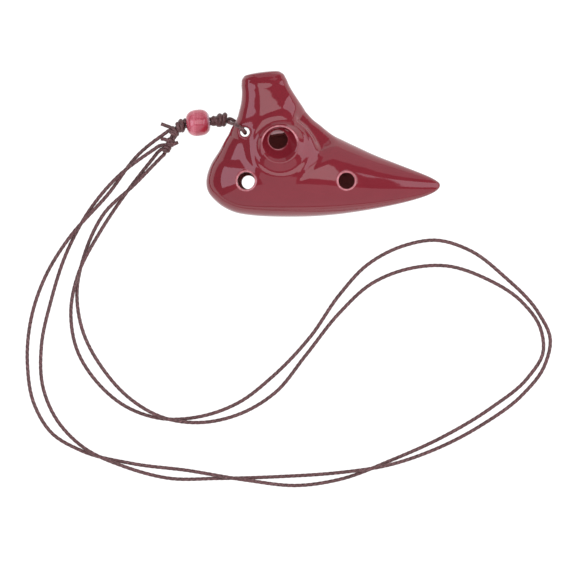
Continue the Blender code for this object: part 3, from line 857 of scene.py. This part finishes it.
def cord_path(points):
    _, walked = through_points(points, 50)
    path, _ = through_points(points, max(8, int(walked[-1] / RING_STEP)))
    return path, walked[-1]


def hump(distance, reach):
    """1 out to 0.4 of a hump's reach, easing to 0 at its reach."""
    return ease(np.abs(distance), reach, 0.4 * reach)


def necklace_path(route, over_at, end_rise):
    level, length = cord_path(route)
    walked = np.linspace(0, length, len(level))
    height = np.full(len(level), CORD_RADIUS)
    for at in over_at:
        height = np.maximum(height, CORD_RADIUS + (CORD + GAP) * hump(walked - at, HUMP_REACH))
    height += end_rise[0] * hump(walked, END_REACH)
    height += end_rise[1] * hump(walked - walked[-1], END_REACH)
    path = np.column_stack([level, height])
    return path, np.linalg.norm(np.diff(path, axis=0), axis=1).sum()


ALONG = np.array((math.cos(BEAD_LEAN), math.sin(BEAD_LEAN), 0.0))
ACROSS = np.array((-math.sin(BEAD_LEAN), math.cos(BEAD_LEAN), 0.0))
UP = np.array((0.0, 0.0, 1.0))


def on_axis(distance, sideways=0.0):
    """A point this far from the bead's middle along its bore, towards the vessel if positive."""
    return BEAD_CENTRE + ALONG * distance + ACROSS * sideways


def bead_mesh():
    """A rounded barrel with a bore, its skin running once round from bore to bore."""
    half, power, steps = BEAD_LENGTH / 2, 2.6, 48
    profile = []
    for angle in np.linspace(0, math.pi, steps):
        radius = BEAD_RADIUS * math.sin(angle) ** (2 / power)
        if radius > BEAD_BORE + 0.0003:
            reach = math.copysign(abs(math.cos(angle)) ** (2 / power), math.cos(angle))
            profile.append((-half * reach, radius))
    end = profile[0][0]
    bore = [(-end * s, BEAD_BORE) for s in np.linspace(0.97, -0.97, 12)]
    lip = 0.00012
    profile = [(end - lip * 0.2, BEAD_BORE + lip), *profile, (-end + lip * 0.2, BEAD_BORE + lip), *bore]
    x, radius = np.array(profile).T
    turn = np.linspace(0, math.tau, 72, endpoint=False)
    rings = (
        BEAD_CENTRE
        + ALONG * x[:, None, None]
        + (ACROSS * np.cos(turn)[:, None] + UP * np.sin(turn)[:, None]) * radius[:, None, None]
    )
    count, around = rings.shape[:2]
    ring, place = np.meshgrid(np.arange(count), np.arange(around), indexing="ij")
    after, beside = (ring + 1) % count, (place + 1) % around
    quads = np.stack(
        [ring * around + place, after * around + place, after * around + beside, ring * around + beside],
        axis=2,
    ).reshape(-1, 4)
    mesh = mesh_from("bead", rings.reshape(-1, 3), quads[:, ::-1])
    place = (rings - BEAD_CENTRE).reshape(-1, 3)
    along, across, up = place @ ALONG, place @ ACROSS, place @ UP
    patch = np.sqrt((along - 0.0026) ** 2 + (across + 0.0029) ** 2 + (up - 0.0036) ** 2)
    set_attribute(mesh, "crimson", 0.8 * ease(patch, 0.0026, 0.0008))
    outer = np.linalg.norm(place - np.outer(along, ALONG), axis=1)
    milky = 0.8 * ease(along, 0.0036, 0.0044) * ease(outer, 0.0048, 0.0040)
    set_attribute(mesh, "milky", milky)
    return mesh


def coil_path(centre, direction, length, radii, turns, tilt):
    """Turns of cord about an axis, leaning to one side, from the first radius to the second."""
    ahead = np.array((*direction, 0.0)) / math.hypot(*direction)
    side = np.array((-ahead[1], ahead[0], 0.0))
    t = np.linspace(0, 1, int(60 * turns))[:, None]
    angle = math.tau * turns * t + 0.6
    wide = ease(t * turns, 0.7, 1.3)
    reach = radii[0] + (radii[1] - radii[0]) * wide
    reach = reach * (0.5 + 0.5 * ease(np.minimum(t, 1 - t), 0.0, 0.06))
    along = length * (t - 0.5) + tilt * np.cos(angle) * wide
    return np.array(centre) + ahead * along + (side * np.cos(angle) + UP * np.sin(angle)) * reach


def build_cords(material):
    def piece(name, parts):
        mesh = joined_mesh(name + "_cord", parts)
        return add_piece(name + "_cord", mesh, material, "lanyard", (name,))

    def cord_through(*route):
        return twisted_tube(cord_path(route)[0])

    def knot(name, wraps, cores, links):
        return piece(name, [
            *[twisted_tube(coil_path(*wrap), KNOT_CORD_RADIUS) for wrap in wraps],
            # Dark balls of painted shade inside the wraps.
            *[core_ball(wrap[0], half) for wrap, half in zip(wraps, cores)],
            *[cord_through(*link) for link in links],
        ])

    loop_path, loop_length = cord_path(LOOP_ROUTE)
    loop = piece("lanyard_loop", [twisted_tube(loop_path)])
    barrel = piece("barrel_knot", [
        *[
            twisted_tube(coil_path(on_axis(place), ALONG[:2], *wrap), cord_radius)
            for place, *wrap, cord_radius in BARREL_WRAPS
        ],
        # A dark ball of painted shade inside the wraps.
        core_ball(on_axis(BARREL_CORE[0]), BARREL_CORE[1]),
    ])
    strands = []
    for name, side in (("bead_strand_a", 1), ("bead_strand_b", -1)):
        path = np.array([on_axis(d, side * STRAND_SPREAD) for d in np.linspace(*STRAND_SPAN, 40)])
        strands.append(piece(name, [twisted_tube(path)]))

    stop = knot("stop_knot", STOP_WRAPS, STOP_CORES, STOP_LINKS)
    tie = knot("tie_knot", TIE_WRAPS, TIE_CORES, TIE_LINKS)
    tails = [piece(name, [cord_through(*route)]) for name, route in TAIL_ROUTES.items()]

    path_a, length_a = necklace_path(NECKLACE_A_ROUTE, A_OVER_AT, A_END_RISE)
    path_b, length_b = necklace_path(NECKLACE_B_ROUTE, B_OVER_AT, B_END_RISE)
    strand_a = piece("necklace_strand_a", [twisted_tube(path_a)])
    strand_b = piece("necklace_strand_b", [twisted_tube(path_b, turn=0.7)])
    return {
        "loop": (loop, loop_path, loop_length, [barrel, *strands]),
        "a": (strand_a, path_a, length_a, [stop, tails[0]]),
        "b": (strand_b, path_b, length_b, [tie, tails[1], tails[2]]),
    }


# Stage --------------------------------------------------------------------------------------


def build_camera():
    camera = bpy.data.cameras.new("camera")
    camera.sensor_width = SENSOR
    camera.lens = SENSOR * (CAMERA_HEIGHT - VIEW_CENTRE[2]) / VIEW_WIDTH
    camera.clip_start, camera.clip_end = 0.05, 20.0
    obj = bpy.data.objects.new("camera", camera)
    obj.location = (VIEW_CENTRE[0], VIEW_CENTRE[1], CAMERA_HEIGHT)
    bpy.context.scene.collection.objects.link(obj)
    bpy.context.scene.camera = obj


def build_floor():
    """A plain white sheet that glows a little, as a light table does, so that it takes no shadow."""
    reach = 4.0
    mesh = bpy.data.meshes.new("floor")
    corners = [(-reach, -reach, 0), (reach, -reach, 0), (reach, reach, 0), (-reach, reach, 0)]
    mesh.from_pydata(corners, [], [(0, 1, 2, 3)])
    floor = bpy.data.objects.new("floor", mesh)
    bpy.context.scene.collection.objects.link(floor)
    n = Nodes("floor")
    n.shader.inputs["Base Color"].default_value = (0.12, 0.12, 0.12, 1)
    n.shader.inputs["Roughness"].default_value = 0.9
    n.shader.inputs["Specular IOR Level"].default_value = 0.0
    n.shader.inputs["Emission Color"].default_value = (1, 1, 1, 1)
    n.shader.inputs["Emission Strength"].default_value = 1.05
    mesh.materials.append(n.material)


def softbox(name, centre, target, size, radiance, colour):
    light = bpy.data.lights.new(name, "AREA")
    light.shape = "RECTANGLE"
    light.size, light.size_y = size
    light.energy = radiance * math.pi * size[0] * size[1]
    light.color = colour
    obj = bpy.data.objects.new(name, light)
    obj.location = centre
    obj.rotation_euler = (Vector(target) - Vector(centre)).to_track_quat("-Z", "Y").to_euler()
    obj.visible_camera = False
    bpy.context.scene.collection.objects.link(obj)


def build_lights():
    """One box overhead and four tall ones round the object, with dark gaps between them."""
    softbox("overhead", (0.0, 0.085, 0.90), (0.0, 0.085, 0.0), (0.66, 0.59), 2.0, (1.0, 0.94, 0.97))
    softbox("left", (-0.75, 0.00, 0.86), (-0.05, 0.00, 0.86), (0.74, 1.02), 2.3, (0.95, 0.84, 1.0))
    softbox("right", (0.75, 0.09, 0.85), (0.05, 0.09, 0.85), (0.88, 1.50), 2.0, (0.98, 0.88, 1.0))
    softbox("front", (0.0, -0.78, 0.86), (0.0, 0.0, 0.86), (1.75, 1.60), 0.80, (1.0, 0.86, 0.93))
    softbox("back", (0.20, 1.10, 0.67), (0.20, 0.0, 0.67), (1.30, 1.24), 0.70, (1.0, 0.90, 0.97))
    world = bpy.data.worlds.new("world")
    world.use_nodes = True
    world.node_tree.nodes["Background"].inputs["Color"].default_value = (0.9, 0.92, 0.95, 1)
    world.node_tree.nodes["Background"].inputs["Strength"].default_value = 0.22
    bpy.context.scene.world = world
    bpy.context.scene.view_settings.view_transform = "Standard"


build_camera()
cords = build_cords(cord_material())
bead = add_piece("bead_glass", bead_mesh(), bead_material(), "bead", ("bead",))
build_vessel(glaze_material())
build_floor()
build_lights()
